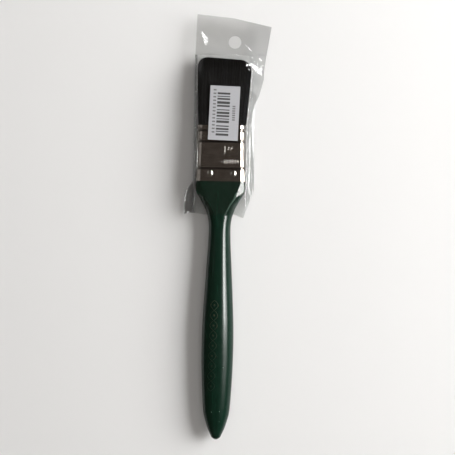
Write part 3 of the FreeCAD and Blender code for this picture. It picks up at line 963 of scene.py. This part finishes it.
HEADER_CORNERS = ((-14.2, 65.5), (22.5, 65.5), (24.9, 80.4), (5.4, 84.6), (-13.5, 86.4))
HANG_HOLE = next(mount for mount in frame["record"]["mounts"] if mount["name"] == "hang_hole")
HOLE_X, HOLE_Y = np.array(HANG_HOLE["pos_m"][:2]) / MM
HOLE_RADIUS = HANG_HOLE["dims"]["r_mm"]


def header_reach(angle):
    """Distance from the hole's centre to the header's edge in one direction."""
    dx, dy = math.cos(angle), math.sin(angle)
    found = []
    for (x0, y0), (x1, y1) in zip(HEADER_CORNERS, HEADER_CORNERS[1:] + HEADER_CORNERS[:1]):
        px, py = x0 - HOLE_X, y0 - HOLE_Y
        side_x, side_y = x1 - x0, y1 - y0
        span = dx * side_y - dy * side_x
        if abs(span) > 1e-9:
            reach = (px * side_y - py * side_x) / span
            along = (px * dy - py * dx) / span
            if reach > 0 and -1e-9 <= along <= 1 + 1e-9:
                found.append(reach)
    return min(found)


def build_header(material):
    """The doubled header above the weld, with its punched hole and a few creases."""
    corner_turns = [math.atan2(y - HOLE_Y, x - HOLE_X) for x, y in HEADER_CORNERS]
    turns = np.unique(np.concatenate([np.linspace(-math.pi, math.pi, 300, endpoint=False), corner_turns]))
    edge = np.array([header_reach(a) for a in turns])
    outwards = np.linspace(0, 1, 90)[:, None] ** 1.25
    distance = HOLE_RADIUS + (edge - HOLE_RADIUS) * outwards
    x = HOLE_X + distance * np.cos(turns)
    y = HOLE_Y + distance * np.sin(turns)
    weld = 1 - smoothstep(66.2, 67.0, y)
    free = smoothstep(65.6, 69, y)
    z = AXIS_Z + 0.1 + 0.07 * free * ripples(x * 0.05, y * 0.07, 1.0)
    z += 0.05 * weld * np.sin(x * 2 * math.pi / 0.9)
    z += tent(x, y, (9.8, 72.3), (15.2, 66.5), 0.8, 0.28, 1.5)
    z += tent(x, y, (14.6, 68.0), (15.6, 65.8), 0.35, 0.1)
    z += tent(x, y, (-12.4, 78.9), (-9.1, 70.0), 2.3, 0.9)
    z += fold(x, y, (2.0, 69.6), (1.6, 66.4), 0.5, 0.12)
    grid = np.stack([x, y, z], -1)
    points, faces = shell(grid, 2 * FILM, closed=True)
    obj = add_piece("sleeve_header", points, flipped(faces), "sleeve", material, "hang_header")
    # Painted shade on the header: darker towards the right.
    add_shares(obj, "film_painted_shade", 0.30 * smoothstep(2, 22, points[:, 0]))


LABEL_CENTRE = (LABEL_LOW[:2] + LABEL_HIGH[:2]) / 2
LABEL_WIDTH = 15.3
LABEL_LENGTH = 27.8
LABEL_TILT = math.radians(-1.8)


def on_label(a, b):
    """A point of the label, a to the right of its middle and b above it, where its lowest edge curls up."""
    x = LABEL_CENTRE[0] + a * math.cos(LABEL_TILT) - b * math.sin(LABEL_TILT)
    y = LABEL_CENTRE[1] + a * math.sin(LABEL_TILT) + b * math.cos(LABEL_TILT)
    curl = 0.28 * max(0.0, (-b - LABEL_LENGTH / 2 + 1.7) / 1.7) ** 2
    return x, y, LABEL_HIGH[2] + curl


def bar(a, b, wide, high):
    """The outline of a rectangle on the label about a, b."""
    return [(a + i * wide / 2, b + j * high / 2) for i, j in ((-1, -1), (1, -1), (1, 1), (-1, 1))]


# Thickness of each printed bar, from the top, and the gaps between them, in turn.
PRINTED_BARS = (1.0, 0.5, 0.9, 1.3, 0.9, 0.5, 1.1, 0.9, 0.5, 1.2, 0.6, 0.9, 0.5, 1.1)
BAR_GAPS = (0.75, 0.6, 0.8, 0.6, 1.3)


def build_label(paper, ink, pale_ink):
    """The label, a stack of bars, and dashes where a label has its figures and words."""
    columns, rows = 24, 60
    across = np.linspace(-LABEL_WIDTH / 2, LABEL_WIDTH / 2, columns)
    upwards = np.linspace(-LABEL_LENGTH / 2, LABEL_LENGTH / 2, rows)
    grid = np.array([[on_label(a, b) for a in across] for b in upwards])
    points, faces = shell(grid, 0.1)
    add_piece("label_sheet", points, faces, "sleeve", paper, "barcode_label", smooth=False)

    marks = []
    b = LABEL_LENGTH / 2 - 3.4
    for i, thick in enumerate(PRINTED_BARS):
        marks.append(bar(-0.55, b - thick / 2, 6.5, thick))
        b -= thick + BAR_GAPS[i % len(BAR_GAPS)]
    points, faces = decals(marks, on_label)
    add_piece("label_bars", points, faces, "sleeve", ink, smooth=False)
    dashes = [bar(-5.2, LABEL_LENGTH / 2 - 2.2 - 1.8 * i, 1.5, 0.75) for i in range(13)]
    dashes += [bar(4.9, 3.6 - 1.15 * i, 1.5, 0.7) for i in range(7)]
    points, faces = decals(dashes, on_label)
    add_piece("label_dashes", points, faces, "sleeve", pale_ink, smooth=False)


# -------------------- stage


def look_at(obj, target):
    direction = Vector(target) - obj.location
    obj.rotation_euler = direction.to_track_quat("-Z", "Y").to_euler()


def panel(name, slant, y, size, radiance, far=1.0, bearing=0.0, matt=False):
    """A rectangular light, far off from a place on the brush's axis, at a slant from straight up, and to the
    right or on a bearing turned from there. Its size is sideways and then upwards, all in metres. It lights
    only matt surfaces, or else it is only seen in gloss."""
    light = bpy.data.lights.new(name, "AREA")
    light.shape = "RECTANGLE"
    light.size, light.size_y = size
    light.energy = radiance * size[0] * size[1] * math.pi
    light.color = (1.0, 0.995, 0.985)
    if not matt:
        light.cycles.max_bounces = 0  # it throws no glints from the film onto the floor
    obj = bpy.data.objects.new(name, light)
    scene.collection.objects.link(obj)
    out = far * math.sin(math.radians(slant))
    turn = math.radians(bearing)
    obj.location = (out * math.cos(turn), y + out * math.sin(turn), far * math.cos(math.radians(slant)))
    look_at(obj, (0.0, y, 0.0))
    obj.visible_camera = False
    obj.visible_glossy = not matt
    obj.visible_diffuse = matt


def build_floor():
    """A plain pale floor in metres, a hair under the brush."""
    data = bpy.data.meshes.new("floor")
    half, low = 6.0, -0.0002
    corners = [(-half, -half, low), (half, -half, low), (half, half, low), (-half, half, low)]
    data.from_pydata(corners, [], [(0, 1, 2, 3)])
    floor = bpy.data.objects.new("floor", data)
    scene.collection.objects.link(floor)
    mat, tree, shader, _ = new_material("pale_floor")
    feed(tree, shader, Base_Color=(0.84, 0.84, 0.84, 1.0), Roughness=0.9)
    data.materials.append(mat)


def build_room():
    """A dim brown ceiling, and walls that are brighter to the right."""
    world = bpy.data.worlds.new("studio")
    scene.world = world
    world.use_nodes = True
    tree = world.node_tree
    outwards = add_node(tree, "ShaderNodeTexCoord").outputs["Generated"]
    split = add_node(tree, "ShaderNodeSeparateXYZ", Vector=outwards)
    ceiling = ((0.42, (0.085, 0.07, 0.056)), (0.6, (0.066, 0.053, 0.042)))
    bright_side = ramp(tree, split.outputs["Z"], (0.0, grey(1.0)), (0.2, grey(0.65)), *ceiling)
    dim_side = ramp(tree, split.outputs["Z"], (0.0, grey(0.10)), (0.2, grey(0.08)), *ceiling)
    to_the_right = ramp(tree, split.outputs["X"], (0.0, grey(0.0)), (0.35, grey(1.0)))
    colour = mixed_colour(tree, to_the_right, dim_side, bright_side)
    feed(tree, tree.nodes["Background"], Color=colour, Strength=1.0)


def build_lights():
    """A window to the right, with a brighter core, and a dimmer foot and toe beyond the handle's end. Cards
    fill the gloss on the other sides, and two softer lights fall on what is matt."""
    panel("window", 38.0, 0.54, (1.41, 0.43), 11.5)
    panel("window_core", 34.0, 0.54, (1.41, 0.14), 18.0)
    panel("window_foot", 38.0, -0.1925, (0.055, 0.43), 4.0)
    panel("window_toe", 38.0, -0.265, (0.09, 0.43), 0.9)
    panel("left_card", 40.0, 0.53, (1.0, 0.5), 0.42, bearing=180.0)
    panel("near_card", 52.0, 0.0, (1.2, 0.5), 0.05, bearing=-90.0)
    panel("daylight", 61.0, 0.3, (1.0, 0.7), 12.0, far=1.2, matt=True)
    panel("soft_top", 5.0, 0.1, (1.6, 1.2), 0.62, far=1.2, bearing=180.0, matt=True)


def build_camera():
    """Straight down on the brush, which lies turned by a degree in the picture."""
    wide = 0.2343  # metres that the picture spans, a little below the front of the brush
    camera = bpy.data.cameras.new("camera")
    camera.lens = 85.0
    camera.sensor_width = 36.0
    obj = bpy.data.objects.new("camera", camera)
    scene.collection.objects.link(obj)
    height = wide * camera.lens / camera.sensor_width + 8 * MM
    obj.location = (4.05 * MM, -23.6 * MM, height)
    obj.rotation_euler = (0, 0, math.radians(1.09))
    scene.camera = obj


def main():
    lacquer = lacquer_material()
    steel = plated_steel_material()
    nail_steel = plated_steel_material("nail_steel", (0.6, 0.57, 0.54))
    nylon = filament_material()
    film = film_material("clear_film", (0.972, 0.974, 0.971))
    header_film = film_material("doubled_film", (0.873, 0.874, 0.87))
    build_handle(lacquer)
    build_foil_mark(foil_material())
    build_nibs(speck_material())
    build_ferrule(steel)
    build_marks(plated_steel_material("struck_steel", (0.07, 0.066, 0.062), grain=0.1))
    for node, x, y, is_front in nail_places():
        build_nail(node, x, y, is_front, nail_steel)
    build_filaments("filament_bank_front", 1, nylon)
    build_filaments("filament_bank_rear", -1, nylon)
    build_front_film(film)
    build_back_film(film)
    build_header(header_film)
    build_label(paper_material(), ink_material("label_ink", 0.02), ink_material("label_fine_ink", 0.09))
    for node, material in (("spacer_plug", wood_material()), ("resin_setting", resin_material())):
        obj = frame["nodes"][node]
        for slot in obj.material_slots:
            slot.material = material
    build_camera()
    build_floor()
    build_room()
    build_lights()
    scene.view_settings.view_transform = "Standard"


main()
